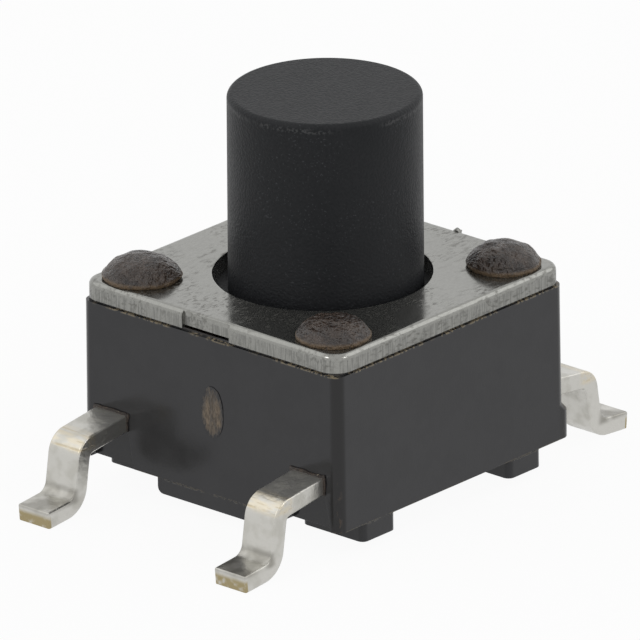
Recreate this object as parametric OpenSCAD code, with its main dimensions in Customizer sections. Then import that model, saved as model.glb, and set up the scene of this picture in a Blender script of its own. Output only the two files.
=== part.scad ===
// Tactile push button switch, 6 mm class, surface mounted on four gull-wing leads.
// Frame: Z up, leads leave the front and rear faces (Y), origin on the board plane
// under the centre of the body. Sizes in millimetres.
// The plunger sets the well, the well sets the stakes, and the stakes set the width.

/* [Button] */
// Diameter of the button
button_d = 3.36; // [3:0.02:4.2]
// How far the button stands out of the cover
button_rise = 3.29; // [0.5:0.01:8]
// Radius of the button's top edge
button_edge_r = 0.1; // [0.05:0.01:0.3]
// Gap between the button and the cover's hole, all round
button_gap = 0.22; // [0.1:0.01:0.3]
// How far the flange reaches under the cover
flange_lip = 0.35; // [0.25:0.05:0.6]
// Thickness of the flange
flange_t = 0.5; // [0.3:0.05:0.7]
// Diameter of the hub under the flange
hub_d = 2.2; // [1.6:0.1:2.8]
// Diameter of the nub that presses the snap dome
nub_d = 1.2; // [0.8:0.1:1.5]
// Length of the nub
nub_h = 0.43; // [0.3:0.01:0.6]
// How far the button goes down until the dome makes contact
button_travel = 0.25; // [0.15:0.01:0.3]

/* [Cover] */
// Sheet thickness of the cover plate
cover_t = 0.3; // [0.2:0.02:0.4]
// Radius of the cover's corners, seen from above
cover_corner_r = 0.5; // [0.3:0.05:0.8]
// Radius of the rolled upper edge
cover_edge_r = 0.12; // [0.05:0.01:0.18]
// Width of the notch where the carrier strip was cut off
tab_notch_w = 1.1; // [0.6:0.05:1.6]
// Depth of that notch
tab_notch_depth = 0.1; // [0.05:0.01:0.2]
// Height of the gap under the notched edge
tab_gap_h = 0.08; // [0.04:0.01:0.12]
// How far that gap reaches in
tab_gap_depth = 0.35; // [0.2:0.05:0.5]

/* [Stakes] */
// Diameter of a heat stake's shank
stake_d = 0.9; // [0.6:0.05:1]
// Plastic left between the well and a stake
stake_wall = 0.3; // [0.2:0.01:0.6]
// Metal left between a stake and the cover's edge
stake_margin = 0.23; // [0.22:0.01:0.6]
// How far a melted head spreads over the cover, past its shank
head_lip = 0.22; // [0.1:0.01:0.22]
// Height of a melted head over the cover
head_h = 0.38; // [0.25:0.01:0.5]
// Height of the head's rim, which tapers in towards the cover
head_rim_h = 0.06; // [0.02:0.01:0.12]

/* [Base] */
// Height of the base from its underside to the seat of the cover
base_h = 2.89; // [2.6:0.01:3.6]
// How far the base stands out past the cover
base_ledge = 0.068; // [0:0.002:0.2]
// Radius of the base's upright corners
base_corner_r = 0.2; // [0.1:0.05:0.4]
// Gap between the board and the underside of the base
stand_off = 0.52; // [0.4:0.01:0.8]
// Depth and height of the relieved edge round the top of the base
top_relief = 0.07; // [0.03:0.01:0.15]
// How far the rear face stands out below the leads
rear_step = 0.13; // [0.05:0.01:0.15]
// Running gap between the flange and the well
guide_gap = 0.1; // [0.05:0.01:0.2]
// Plastic left over the lead frames at the bottom of the well
floor_skin = 0.12; // [0.08:0.01:0.2]

/* [Leads] */
// Width of a lead
lead_w = 0.7; // [0.5:0.05:0.8]
// Sheet thickness of the lead frames
lead_t = 0.3; // [0.2:0.01:0.35]
// Distance from a lead's edge to the base's plain face
lead_inset = 0.34; // [0.3:0.01:0.8]
// Radius of the slight bend where a lead leaves the base
root_r = 0.6; // [0.3:0.1:1]
// Length of the sloping stretch next to the base
arm_l = 0.76; // [0.6:0.01:1.2]
// Slope of that stretch, in degrees below level
arm_slope = 7; // [2:0.5:12]
// Inner radius of the upper bend
knee_r = 0.1; // [0.05:0.01:0.2]
// Length of the steep stretch
drop_l = 0.54; // [0.4:0.02:0.8]
// Angle of the steep stretch below level
drop_slope = 81; // [70:1:88]
// Inner radius of the lower bend
heel_r = 0.2; // [0.1:0.01:0.3]
// Length of the flat of the solder foot
toe_l = 0.52; // [0.3:0.02:0.8]
// Slope of the solder foot, toe down
toe_slope = 5; // [0:0.5:8]
// Depth of the relief in the base's face under each lead
relief_depth = 0.15; // [0.05:0.01:0.25]
// Room beside a lead at the upper end of its relief
relief_top_gap = 0.02; // [0:0.01:0.05]
// Room beside a lead at the relief's open lower end
relief_low_gap = 0.16; // [0.05:0.01:0.25]

/* [Contacts] */
// Gap between the snap dome and the wall of the well
dome_gap = 0.3; // [0.2:0.05:0.5]
// Thickness of the snap dome
dome_t = 0.06; // [0.04:0.01:0.1]
// Width of the contact fingers
finger_w = 0.8; // [0.5:0.05:1]
// Diameter of the centre contact's bump
bump_d = 0.9; // [0.6:0.05:1.1]
// Height of the centre contact's bump over the well's floor
bump_h = 0.04; // [0.02:0.01:0.08]
// Room round that bump in the well's floor
bump_gap = 0.15; // [0.1:0.01:0.2]
// Diameter of the two rim contacts' raised pads
pad_d = 0.6; // [0.4:0.05:0.7]
// Distance between the middles of the rim contacts
pad_pitch = 2.4; // [2:0.05:2.8]

/* [Underside] */
// Length of the ridge under the front and rear edges
ridge_l = 2.46; // [1.8:0.02:3]
// Thickness of that ridge
ridge_t = 0.45; // [0.3:0.05:0.8]
// Height of the ridge
ridge_h = 0.29; // [0.1:0.01:0.35]
// Length of the feet, along the plain faces
foot_l = 0.85; // [0.6:0.05:1.2]
// Width of the feet, in from the plain faces
foot_w = 1.4; // [0.8:0.05:1.6]
// Height of the feet
foot_h = 0.34; // [0.1:0.01:0.38]
// Distance from a foot to the front or rear face
foot_end = 0.72; // [0.4:0.01:1]
// Radius of the feet's upright edges and of the ridge's ends
foot_r = 0.12; // [0.05:0.01:0.2]
// How far the feet and ridges stand back from the faces
foot_inset = 0.02; // [0.01:0.01:0.1]

/* [Hidden] */
$fn = 96;
corner_fn = 32;
bend_steps = 10;
eps = 0.01;
quarter_turn = 90;
half_turn = 180;

// Widths, built up from the button
cover_hole_d = button_d + 2 * button_gap;
flange_d = cover_hole_d + 2 * flange_lip;
well_d = flange_d + 2 * guide_gap;
stake_pos = (well_d / 2 + stake_wall + stake_d / 2) / sqrt(2);
cover_half = stake_pos + stake_d / 2 + stake_margin;
base_half = cover_half + base_ledge;
lead_pos = base_half - lead_inset - lead_w / 2;
strip_in = lead_pos - lead_w / 2;

// Heights, built up from the board
seat_z = stand_off + base_h;
cover_top = seat_z + cover_t;
button_top = cover_top + button_rise;

// Stretches of the lead's middle line, from the face out: length, then turn and its radius
lead_path = [[0, -arm_slope, root_r],
             [arm_l, arm_slope - drop_slope, knee_r + lead_t / 2],
             [drop_l, drop_slope - toe_slope, heel_r + lead_t / 2],
             [toe_l, 0, 0]];

// A point moved sideways from p, on a line that heads along angle a
function beside(p, a, off) = p + off * [-sin(a), cos(a)];

// The point at the given turn of a bend round c, entered along angle a
function on_bend(c, a, turn, r) = beside(c, a + turn, -sign(turn) * r);

// Points on one side of the path, from stretch i on
function side_points(path, p, a, off, i = 0) =
    i == len(path) ? [] :
    let (line = path[i][0],
         turn = path[i][1],
         r = path[i][2],
         steps = turn == 0 ? 0 : bend_steps,
         q = p + line * [cos(a), sin(a)],
         c = beside(q, a, sign(turn) * r))
    concat([beside(q, a, off)],
           [for (k = [1:1:steps])
               let (now = turn * k / steps)
               beside(on_bend(c, a, now, r), a + now, off)],
           side_points(path, steps == 0 ? q : on_bend(c, a, turn, r), a + turn, off, i + 1));

function reversed(v) = [for (k = [len(v) - 1:-1:0]) v[k]];
function mirrored(v) = [for (p = v) [-p[0], p[1]]];

// The toe's lowest point stands on the board, and that sets the lead frames' height
under_side = side_points(lead_path, [base_half, 0], 0, -lead_t / 2);
upper_side = side_points(lead_path, [base_half, 0], 0, lead_t / 2);
frame_mid_z = -min([for (p = under_side) p[1]]);
frame_low_z = frame_mid_z - lead_t / 2;
frame_top_z = frame_mid_z + lead_t / 2;
floor_z = frame_top_z + floor_skin;

// Snap dome: its crown stands one travel above the centre bump
dome_d = well_d - 2 * dome_gap;
dome_rise = bump_h + button_travel + dome_t;
crown_z = floor_z + dome_rise;
pad_y = pad_pitch / 2;
pad_x = -sqrt(pow(dome_d / 2 - pad_d / 2, 2) - pow(pad_y, 2));

function cap_sphere_r(d, h) = (pow(d / 2, 2) + pow(h, 2)) / (2 * h);

// Rectangle with rounded corners, drawn with true arcs
module round_rect(l, w, r) {
    square([l, w - 2 * r], center = true);
    square([l - 2 * r, w], center = true);
    for (x = [-1, 1], y = [-1, 1])
        translate([x * (l / 2 - r), y * (w / 2 - r)]) circle(r);
}

module at_stakes() {
    for (x = [-1, 1], y = [-1, 1])
        translate([x * stake_pos, y * stake_pos, 0]) children();
}

// The same at the front and, turned round, at the rear
module front_and_rear() {
    for (turn = [0, half_turn]) rotate(turn) children();
}

// Cap of a sphere, of the given base diameter and height
module sphere_cap(d, h) {
    intersection() {
        translate([0, 0, h - cap_sphere_r(d, h)]) sphere(cap_sphere_r(d, h));
        cylinder(d = d + h, h = h);
    }
}

// Melted plastic stake, from the seat up through the cover to its domed head
module heat_stake() {
    head_d = stake_d + 2 * head_lip;
    translate([0, 0, seat_z - eps]) cylinder(d = stake_d, h = cover_t + 2 * eps);
    translate([0, 0, cover_top])
        cylinder(d1 = head_d - 2 * head_rim_h, d2 = head_d, h = head_rim_h);
    translate([0, 0, cover_top + head_rim_h]) sphere_cap(head_d, head_h - head_rim_h);
}

// Flat strip of a lead frame where it lies in the base
module strip_slot() {
    translate([strip_in, -base_half, frame_low_z]) cube([lead_w, 2 * base_half, lead_t]);
}

// Flat finger of a lead frame, from the middle of the right strip to a round end at x
module finger(x) {
    translate([x, -finger_w / 2, frame_low_z]) cube([lead_pos - x, finger_w, lead_t]);
    translate([x, 0, frame_low_z]) cylinder(d = finger_w, h = lead_t);
}

// Fingers of the left lead frame to the two rim contacts
module rim_fingers() {
    for (y = [-pad_y, pad_y]) translate([0, y, 0]) mirror([1, 0, 0]) finger(-pad_x);
}

// Raised pads at the ends of those fingers, flush with the well's floor
module rim_pads() {
    for (y = [-pad_y, pad_y])
        translate([pad_x, y, frame_top_z - eps]) cylinder(d = pad_d, h = floor_skin + eps);
}

// Relief in the front face under a lead, wider at its open lower end
module lead_relief() {
    top_half = lead_w / 2 + relief_top_gap;
    low_half = lead_w / 2 + relief_low_gap;
    translate([0, relief_depth - base_half, 0])
        rotate([quarter_turn, 0, 0])
            linear_extrude(height = 2 * relief_depth)
                polygon([[-top_half, frame_low_z], [top_half, frame_low_z],
                         [low_half, stand_off - eps], [-low_half, stand_off - eps]]);
}

// Ridge under the front edge, with rounded lower ends
module ridge() {
    translate([0, ridge_t + foot_inset - base_half, stand_off])
        rotate([quarter_turn, 0, 0])
            linear_extrude(height = ridge_t)
                intersection() {
                    round_rect(ridge_l, 2 * ridge_h, foot_r);
                    translate([-ridge_l, -ridge_h]) square([2 * ridge_l, ridge_h + eps]);
                }
}

// Foot under the right plain face, near the front
module foot() {
    translate([base_half - foot_inset - foot_w / 2, foot_end + foot_l / 2 - base_half,
               stand_off - foot_h])
        linear_extrude(height = foot_h + eps) round_rect(foot_w, foot_l, foot_r);
}

// The rear face's lower part, which stands out and slopes back in under the leads
module rear_shoulder() {
    wide = 2 * base_half;
    out = base_half + rear_step;
    intersection() {
        translate([0, rear_step, stand_off])
            linear_extrude(height = frame_low_z - stand_off)
                round_rect(wide, wide, base_corner_r);
        translate([-base_half, 0, 0])
            rotate([quarter_turn, 0, quarter_turn])
                linear_extrude(height = wide)
                    polygon([[0, stand_off], [out, stand_off],
                             [out, frame_low_z - rear_step],
                             [base_half, frame_low_z], [0, frame_low_z]]);
    }
}

module base_block() {
    wide = 2 * base_half;
    narrow = wide - 2 * top_relief;
    translate([0, 0, stand_off])
        linear_extrude(height = base_h - top_relief) round_rect(wide, wide, base_corner_r);
    translate([0, 0, seat_z - top_relief - eps])
        linear_extrude(height = top_relief + eps) round_rect(narrow, narrow, base_corner_r);
}

module base_housing() {
    color([0.26, 0.26, 0.27]) difference() {
        union() {
            base_block();
            rear_shoulder();
            at_stakes() heat_stake();
            front_and_rear() {
                ridge();
                foot();
                mirror([1, 0, 0]) foot();
            }
        }
        translate([0, 0, floor_z]) cylinder(d = well_d, h = base_h);
        front_and_rear() {
            strip_slot();
            for (x = [-1, 1]) translate([x * lead_pos, 0, 0]) lead_relief();
        }
        finger(0);
        rim_fingers();
        translate([0, 0, frame_top_z - eps])
            cylinder(d = bump_d + 2 * bump_gap, h = floor_skin + 2 * eps);
        rim_pads();
    }
}

// One strip that runs right through the base, with a gull-wing lead at each end
module lead_strip() {
    outline = concat(upper_side, reversed(under_side), mirrored(under_side),
                     reversed(mirrored(upper_side)));
    translate([strip_in, 0, frame_mid_z])
        rotate([quarter_turn, 0, quarter_turn])
            linear_extrude(height = lead_w) polygon(outline);
}

module terminal_left() {
    color([0.74, 0.74, 0.71]) {
        mirror([1, 0, 0]) lead_strip();
        rim_fingers();
        rim_pads();
    }
}

module terminal_right() {
    color([0.74, 0.74, 0.71]) {
        lead_strip();
        finger(0);
        translate([0, 0, frame_top_z]) sphere_cap(bump_d, floor_skin + bump_h);
    }
}

// Thin stainless snap dome, standing on its rim in the well
module contact_dome() {
    r = cap_sphere_r(dome_d, dome_rise);
    color([0.85, 0.85, 0.87])
        translate([0, 0, crown_z - r])
            intersection() {
                difference() {
                    sphere(r);
                    sphere(r - dome_t);
                }
                translate([0, 0, r - dome_rise]) cylinder(d = well_d, h = dome_rise);
            }
}

// Half section of the plunger, to the right of its axis
module plunger_profile() {
    flange_z = seat_z - flange_t;
    hub_z = crown_z + nub_h;
    edge_z = button_top - button_edge_r;
    edge_x = button_d / 2 - button_edge_r;
    translate([0, crown_z]) square([nub_d / 2, nub_h + eps]);
    translate([0, hub_z]) square([hub_d / 2, flange_z - hub_z + eps]);
    translate([0, flange_z]) square([flange_d / 2, flange_t]);
    translate([0, seat_z - eps]) square([button_d / 2, edge_z - seat_z + eps]);
    translate([0, edge_z - eps]) square([edge_x, button_edge_r + eps]);
    translate([edge_x, edge_z]) circle(button_edge_r);
}

module plunger() {
    color([0.16, 0.16, 0.17]) rotate_extrude() plunger_profile();
}

// One corner of the cover plate, with its rolled upper edge
module cover_corner() {
    rotate_extrude($fn = corner_fn) {
        square([cover_corner_r, cover_t - cover_edge_r]);
        square([cover_corner_r - cover_edge_r, cover_t]);
        translate([cover_corner_r - cover_edge_r, cover_t - cover_edge_r])
            circle(cover_edge_r);
    }
}

// Where the carrier strip was cut off: the edge is set back, with a gap under it
module tab_notch() {
    outside = tab_notch_w;
    translate([-tab_notch_w / 2, -cover_half - outside, -eps]) {
        cube([tab_notch_w, outside + tab_notch_depth, cover_t + 2 * eps]);
        cube([tab_notch_w, outside + tab_gap_depth, tab_gap_h + eps]);
    }
}

module cover_plate() {
    corner = cover_half - cover_corner_r;
    color([0.62, 0.62, 0.6]) translate([0, 0, seat_z]) difference() {
        hull()
            for (x = [-corner, corner], y = [-corner, corner])
                translate([x, y, 0]) cover_corner();
        translate([0, 0, -eps]) {
            cylinder(d = cover_hole_d, h = cover_t + 2 * eps);
            at_stakes() cylinder(d = stake_d, h = cover_t + 2 * eps);
        }
        front_and_rear() tab_notch();
    }
}

base_housing();
terminal_left();
terminal_right();
contact_dome();
plunger();
cover_plate();
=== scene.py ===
import math

import bmesh
import bpy
from mathutils import Matrix, Vector, noise


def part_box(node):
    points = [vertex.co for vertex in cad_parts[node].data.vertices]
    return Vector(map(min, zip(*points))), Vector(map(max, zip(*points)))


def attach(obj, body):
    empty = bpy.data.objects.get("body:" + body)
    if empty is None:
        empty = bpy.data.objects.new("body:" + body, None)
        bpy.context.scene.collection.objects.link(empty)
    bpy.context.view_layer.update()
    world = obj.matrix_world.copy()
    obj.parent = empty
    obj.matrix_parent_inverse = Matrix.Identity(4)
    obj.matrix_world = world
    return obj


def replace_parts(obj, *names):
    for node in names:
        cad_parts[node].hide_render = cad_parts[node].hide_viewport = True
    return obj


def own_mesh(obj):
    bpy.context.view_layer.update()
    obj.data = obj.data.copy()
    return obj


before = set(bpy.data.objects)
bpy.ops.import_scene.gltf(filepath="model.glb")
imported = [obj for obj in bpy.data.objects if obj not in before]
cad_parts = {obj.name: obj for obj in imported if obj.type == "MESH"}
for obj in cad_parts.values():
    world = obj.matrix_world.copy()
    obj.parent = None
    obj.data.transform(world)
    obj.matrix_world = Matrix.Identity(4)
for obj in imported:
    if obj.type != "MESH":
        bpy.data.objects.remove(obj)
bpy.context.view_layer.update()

mm = 0.001               # pieces are modelled with 1 unit = 1 mm and shrunk once at the end


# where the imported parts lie, in millimetres
def partBox(name):
    low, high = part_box(name)
    return low / mm, high / mm


baseHigh = partBox("base_housing")[1]
coverLow, coverHigh = partBox("cover_plate")
buttonLow, buttonHigh = partBox("plunger")
leadHigh = partBox("terminal_left")[1]
domeLow, domeHigh = partBox("contact_dome")
halfBody = baseHigh.x
halfCover = coverHigh.x
seat = coverLow.z
coverTop = coverHigh.z
wellFloor = domeLow.z

# settings shared by several pieces: lead frames, stakes, gate scar and the sheet's extra size
leadSet = {"at": 2.25, "width": 0.7, "thick": 0.32, "skin": 0.12, "rootRadius": 0.6,
           "armSlope": 7, "arm": 0.79, "knee": 0.1, "drop": 0.52, "dropSlope": 81,
           "heel": 0.2, "foot": 0.52, "footSlope": 5, "soft": 0.035, "softSteps": 3,
           "softAngle": 50, "steps": 14, "stepsTurn": 1.3, "aside": -0.014, "finger": 0.8,
           "padRadius": 0.3, "padAt": (-1.274, 1.2), "bump": 0.45, "bumpRise": 0.04,
           "bumpSides": 48, "room": 0.15}
stakeSet = {"at": 2.192, "shank": 0.45, "rim": 0.06, "below": 0.05, "above": 0.03}
gateSet = {"place": (0.07, 2.03), "size": (0.25, 0.47), "rings": 7, "sides": 56, "thick": 0.06,
           "ragged": 0.06, "lobes": 2.3, "lobeSeed": 4.7, "proud": 0.004, "bumps": 0.005,
           "bumpSize": 14, "bumpSeed": 1.3}
sheetSet = {"thicker": 0.025, "wider": 0.062}
sheetTop = coverTop + sheetSet["thicker"]
sheetHalf = halfCover + sheetSet["wider"]
leadTop = wellFloor - leadSet["skin"]
leadUnder = leadTop - leadSet["thick"]

# lengths used all over the modelling
near = 0.001             # tolerance when edges are chosen by their place
clear = 0.01             # a difference that is no rounding error
weld = 0.0005            # points closer than this become one
sunk = 0.02              # how far joined solids reach into each other
past = 1.0               # how far a cutter reaches beyond the piece
facing = 0.9             # a normal that points at least this far one way
smallSides = 48          # sides of small round forms


# small helpers for hand modelling
def deselectAll():
    if bpy.context.object and bpy.context.object.mode != "OBJECT":
        bpy.ops.object.mode_set(mode="OBJECT")
    bpy.ops.object.select_all(action="DESELECT")


def pick(piece):
    deselectAll()
    piece.select_set(True)
    bpy.context.view_layer.objects.active = piece


def addBox(low, high):
    deselectAll()
    low, high = Vector(low), Vector(high)
    bpy.ops.mesh.primitive_cube_add(size=1, location=(low + high) / 2)
    box = bpy.context.object
    box.scale = high - low
    bpy.ops.object.transform_apply(location=True, rotation=False, scale=True)
    return box


def addCylinder(radius, low, high, x=0, y=0, sides=96):
    deselectAll()
    bpy.ops.mesh.primitive_cylinder_add(vertices=sides, radius=radius, depth=high - low,
                                        location=(x, y, (low + high) / 2))
    bpy.ops.object.transform_apply(location=True, rotation=False, scale=False)
    return bpy.context.object


# goes into edit mode with only the wanted edges selected
def chooseEdges(piece, wanted):
    pick(piece)
    bpy.ops.object.mode_set(mode="EDIT")
    bpy.ops.mesh.select_mode(type="EDGE")
    bpy.ops.mesh.select_all(action="DESELECT")
    mesh = bmesh.from_edit_mesh(piece.data)
    for edge in mesh.edges:
        if wanted(edge.verts[0].co, edge.verts[1].co):
            edge.select_set(True)
    bmesh.update_edit_mesh(piece.data)


def chooseFaces(piece, wanted):
    pick(piece)
    bpy.ops.object.mode_set(mode="EDIT")
    bpy.ops.mesh.select_mode(type="FACE")
    bpy.ops.mesh.select_all(action="DESELECT")
    mesh = bmesh.from_edit_mesh(piece.data)
    for face in mesh.faces:
        if wanted(face.calc_center_median(), face.normal):
            face.select_set(True)
    bmesh.update_edit_mesh(piece.data)


def roundEdges(piece, width, segments, wanted):
    chooseEdges(piece, wanted)
    bpy.ops.mesh.bevel(offset=width, segments=segments, affect="EDGES")
    bpy.ops.object.mode_set(mode="OBJECT")


def upright(a, b):
    return abs(a.z - b.z) > clear and (a.xy - b.xy).length < near


def carve(piece, cutter, operation="DIFFERENCE"):
    pick(piece)
    cut = piece.modifiers.new("carve", "BOOLEAN")
    cut.operation = operation
    cut.solver = "EXACT"
    cut.object = cutter
    bpy.ops.object.modifier_apply(modifier=cut.name)
    bpy.data.objects.remove(cutter)
    return piece


def joinPieces(pieces):
    deselectAll()
    for piece in pieces:
        piece.select_set(True)
    bpy.context.view_layer.objects.active = pieces[0]
    bpy.ops.object.join()
    return bpy.context.object


def softenEdges(piece, width, segments, angle=35):
    pick(piece)
    bevel = piece.modifiers.new("soften", "BEVEL")
    bevel.width = width
    bevel.segments = segments
    bevel.limit_method = "ANGLE"
    bevel.angle_limit = math.radians(angle)
    bevel.miter_outer = "MITER_ARC"
    bevel.use_clamp_overlap = True
    bpy.ops.object.modifier_apply(modifier=bevel.name)


# cleans a mesh, shrinks it to real size, names it and hands it to the frame
def finishPiece(piece, name, body, material, smooth=40, merge=weld):
    pick(piece)
    bpy.ops.object.mode_set(mode="EDIT")
    bpy.ops.mesh.select_all(action="SELECT")
    bpy.ops.mesh.remove_doubles(threshold=merge)
    bpy.ops.mesh.normals_make_consistent(inside=False)
    bpy.ops.object.mode_set(mode="OBJECT")
    bpy.ops.object.shade_smooth_by_angle(angle=math.radians(smooth))
    flat = piece.modifiers.new("flat", "WEIGHTED_NORMAL")
    flat.keep_sharp = True
    bpy.ops.object.modifier_apply(modifier=flat.name)
    piece.scale = (mm, mm, mm)
    bpy.ops.object.transform_apply(location=False, rotation=False, scale=True)
    piece.name = name
    piece.data.name = name
    piece.data.materials.clear()
    piece.data.materials.append(material)
    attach(piece, body)
    print(name, len(piece.data.polygons), "faces")
    return piece


# camera, found from the edges of the base, the cover, the button and the leads in the photo
viewSet = {"azimuth": 41.884, "elevation": 21.34, "roll": -0.732, "distance": 336.3,
           "pixelsPerMm": 58.47, "aim": 3.2316, "offset": (2.993, -22.2), "frame": 640,
           "sensor": 36, "clip": (0.01, 10)}


def addCamera():
    az, el, roll = (math.radians(viewSet[k]) for k in ("azimuth", "elevation", "roll"))
    back = Vector((math.sin(az) * math.cos(el), -math.cos(az) * math.cos(el), math.sin(el)))
    right = Vector((math.cos(az), math.sin(az), 0))
    up = back.cross(right)
    rightRolled = right * math.cos(roll) + up * math.sin(roll)
    upRolled = up * math.cos(roll) - right * math.sin(roll)
    offX, offY = viewSet["offset"]
    place = (Vector((0, 0, viewSet["aim"])) + back * viewSet["distance"]) * mm
    deselectAll()
    bpy.ops.object.camera_add(location=place)
    camera = bpy.context.object
    camera.name = "photoCamera"
    turn = [[rightRolled[i], upRolled[i], back[i]] for i in range(3)]
    camera.rotation_euler = Matrix(turn).to_euler()
    camera.data.sensor_width = viewSet["sensor"]
    focal = viewSet["pixelsPerMm"] * viewSet["distance"] / viewSet["frame"]
    camera.data.lens = focal * viewSet["sensor"]
    camera.data.shift_x = -offX / viewSet["frame"]
    camera.data.shift_y = offY / viewSet["frame"]
    camera.data.clip_start, camera.data.clip_end = viewSet["clip"]
    bpy.context.scene.camera = camera


addCamera()
print("camera ready")


# small helpers for shader graphs: values may be numbers, colours or other nodes' outputs
def addNode(graph, kind, values, **settings):
    node = graph.nodes.new("ShaderNode" + kind)
    for name, value in settings.items():
        setattr(node, name, value)
    for socket, value in values.items():
        if isinstance(value, bpy.types.NodeSocket):
            graph.links.new(value, node.inputs[socket])
        else:
            node.inputs[socket].default_value = value
    return node


def reckon(graph, operation, *terms):
    return addNode(graph, "Math", dict(enumerate(terms)), operation=operation).outputs[0]


def blendColour(graph, share, under, over):
    under, over = ((*c, 1) if isinstance(c, tuple) else c for c in (under, over))
    return addNode(graph, "Mix", {0: share, 6: under, 7: over}, data_type="RGBA").outputs[2]


def newGroup(name, takes, gives):
    group = bpy.data.node_groups.new(name, "ShaderNodeTree")
    for label, value in takes.items():
        kind = "NodeSocketVector" if isinstance(value, tuple) else "NodeSocketFloat"
        socket = group.interface.new_socket(label, in_out="INPUT", socket_type=kind)
        socket.default_value = value
    for label, kind in gives.items():
        group.interface.new_socket(label, in_out="OUTPUT", socket_type="NodeSocket" + kind)
    ends = group.nodes.new("NodeGroupInput"), group.nodes.new("NodeGroupOutput")
    return group, ends[0].outputs, ends[1].inputs


# place on the piece in millimetres, and the same folded onto one quarter of the switch
def makePlaceGroup():
    group, takes, gives = newGroup("millimetres", {}, {
        "Place": "Vector", "X": "Float", "Y": "Float", "Z": "Float", "Side X": "Float",
        "Side Y": "Float"})
    spot = addNode(group, "TexCoord", {}).outputs["Object"]
    place = addNode(group, "VectorMath", {0: spot, 3: 1 / mm}, operation="SCALE").outputs[0]
    split = addNode(group, "SeparateXYZ", {0: place}).outputs
    group.links.new(place, gives["Place"])
    for axis in "XYZ":
        group.links.new(split[axis], gives[axis])
    for axis in "XY":
        group.links.new(reckon(group, "ABSOLUTE", split[axis]), gives["Side " + axis])
    return group


# soft-edged spots of a given size: grain, stains, scratches and wear are all cut from it
def makePatchGroup():
    group, takes, gives = newGroup("patches", {
        "Place": (0.0, 0.0, 0.0), "Size": 0.1, "Stretch": (1.0, 1.0, 1.0), "From": 0.5,
        "To": 0.6}, {"Mask": "Float"})
    drawn = addNode(group, "VectorMath", {0: takes["Place"], 1: takes["Stretch"]},
                    operation="MULTIPLY").outputs[0]
    scale = reckon(group, "DIVIDE", 1.0, takes["Size"])
    cloud = addNode(group, "TexNoise", {"Vector": drawn, "Scale": scale, "Detail": 2.0})
    mask = addNode(group, "MapRange", {"Value": cloud.outputs["Fac"], 1: takes["From"],
                                       2: takes["To"]}, interpolation_type="SMOOTHSTEP")
    group.links.new(mask.outputs[0], gives["Mask"])
    return group


# one between two heights, widths or distances, with soft ends
def makeBandGroup():
    group, takes, gives = newGroup("band", {"Value": 0.0, "Low": 0.0, "High": 1.0,
                                            "Soft": 0.01}, {"Mask": "Float"})

    def ramp(limit):
        start = reckon(group, "SUBTRACT", takes[limit], takes["Soft"])
        end = reckon(group, "ADD", takes[limit], takes["Soft"])
        return addNode(group, "MapRange", {"Value": takes["Value"], 1: start, 2: end},
                       interpolation_type="SMOOTHSTEP").outputs[0]

    outside = reckon(group, "SUBTRACT", 1.0, ramp("High"))
    group.links.new(reckon(group, "MULTIPLY", ramp("Low"), outside), gives["Mask"])
    return group


placeGroup, patchGroup, bandGroup = makePlaceGroup(), makePatchGroup(), makeBandGroup()
far = 1000.0             # an open end for a band


def useGroup(graph, group, values):
    return addNode(graph, "Group", values, node_tree=group).outputs


def patches(graph, place, size, start, end, stretch=(1, 1, 1)):
    return useGroup(graph, patchGroup, {"Place": place, "Size": size, "From": start, "To": end,
                                        "Stretch": stretch})["Mask"]


def band(graph, value, low, high, soft=0.01):
    return useGroup(graph, bandGroup, {"Value": value, "Low": low, "High": high,
                                       "Soft": soft})["Mask"]


def above(graph, value, low, soft):
    return band(graph, value, low, far, soft)


def below(graph, value, high, soft):
    return band(graph, value, -far, high, soft)


def times(graph, *masks):
    product = masks[0]
    for mask in masks[1:]:
        product = reckon(graph, "MULTIPLY", product, mask)
    return product


def newMaterial(name):
    material = bpy.data.materials.new(name)
    material.use_nodes = True
    graph = material.node_tree
    return material, graph, graph.nodes["Principled BSDF"]


# the patches that the settings name, one cut by the next
def spots(graph, place, settings, *names):
    return times(graph, *(patches(graph, place, *settings[name]) for name in names))


# heights are in millimetres; the Bump node turns them into metres
def dress(material, shader, colour, rough, height):
    graph = material.node_tree
    graph.links.new(colour, shader.inputs["Base Color"])
    if isinstance(rough, bpy.types.NodeSocket):
        graph.links.new(rough, shader.inputs["Roughness"])
    else:
        shader.inputs["Roughness"].default_value = rough
    bump = addNode(graph, "Bump", {"Strength": 1.0, "Distance": mm, "Height": height})
    graph.links.new(bump.outputs[0], shader.inputs["Normal"])
    return material


# base: glossy dark moulding compound with worn, tan flash left along its edges, and painted shade
# on its rounded upright corners
# (patches are given as size, from, to and stretch)
plasticSet = {"dark": (0.0185, 0.0185, 0.0205), "light": (0.0215, 0.0215, 0.0235),
              "clouds": (0.45, 0.35, 0.65), "grain": (0.04, 0.2, 0.8), "grainHeight": 0.0006,
              # the corner colour is painted shade for the rounded upright corners
              "corner": (0.013, 0.0125, 0.013), "cornerShadeWide": (0.17, 0.03),
              "worn": (0.09, 0.08, 0.065), "wornFace": (0.06, 0.02), "wornHeight": 0.006,
              "underside": 0.52, "wornSpan": (-0.03, 0.02), "wornSoft": 0.01,
              "wornSpots": (0.05, 0.4, 0.6), "wornRuns": (0.7, 0.36, 0.5),
              "rubbed": (0.06, 0.045, 0.035), "rubbedWide": (0.1, 0.03),
              "rubbedSpots": (0.07, 0.55, 0.7, (1, 1, 0.4)), "rubbedHigh": (1.3, 0.5),
              "darkUnderCover": (0.012, 0.009, 0.007), "darkUnderCoverDepth": (0.035, 0.015),
              "darkUnderCoverSpots": (0.25, 0.3, 0.5), "residue": (0.2, 0.165, 0.11),
              "residueSpan": (0.075, 0.035, 0.012), "residueSpots": (0.07, 0.44, 0.58),
              "residueRuns": (0.55, 0.38, 0.52), "roughness": 0.13, "uneven": 0.05,
              "dullest": 0.7, "shine": 0.36}


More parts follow.
